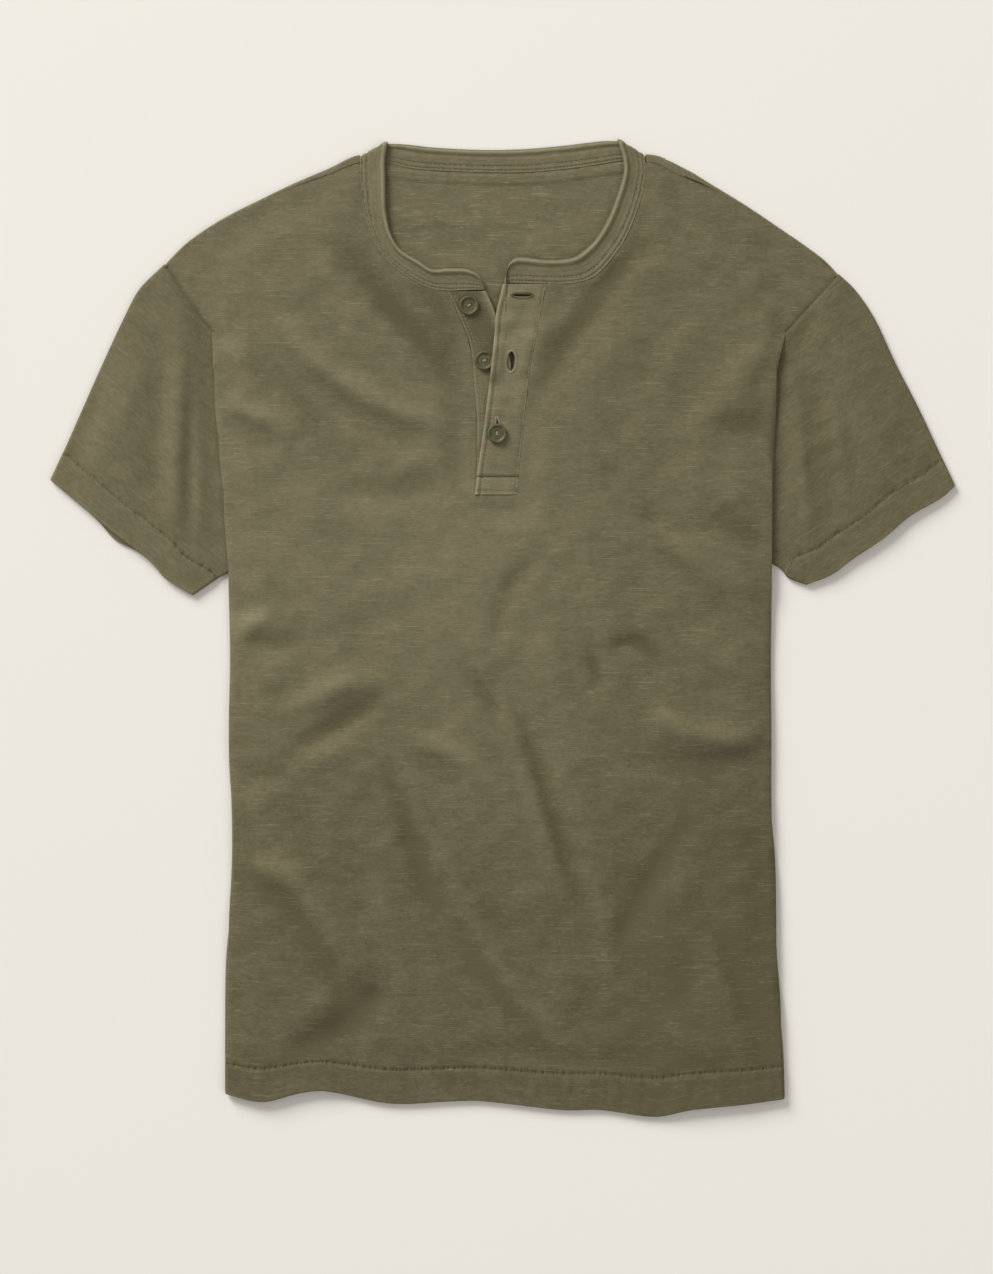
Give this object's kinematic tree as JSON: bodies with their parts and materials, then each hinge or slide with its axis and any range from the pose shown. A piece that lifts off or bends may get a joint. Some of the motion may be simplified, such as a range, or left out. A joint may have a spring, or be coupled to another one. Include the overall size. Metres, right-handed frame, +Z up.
{
  "type": "short-sleeved henley shirt laid flat",
  "caption": "Short-sleeved henley shirt in slub jersey, laid flat and face up, with its sides folded under and its placket part open.",
  "frame": {"origin": "middle of the shirt's outline on the surface that it lies on", "axes": "+X to the right as seen from above, +Y from hem to neck, +Z up out of the front"},
  "size_m": [0.6907, 0.7466, 0.0091],
  "materials": {
    "jersey": "garment-dyed olive slub jersey, matt",
    "trim_jersey": "doubled olive jersey, matt, topstitched",
    "buttons": "dyed olive plastic, satin"
  },
  "bodies": {
    "root": {"front_panel": "jersey", "back_panel": "jersey", "sleeve_left": "jersey", "sleeve_right": "jersey", "neckband": "trim_jersey", "upper_placket": "trim_jersey", "under_placket": "trim_jersey", "button_top": "buttons", "button_middle": "buttons", "button_bottom": "buttons"}
  },
  "joints": []
}
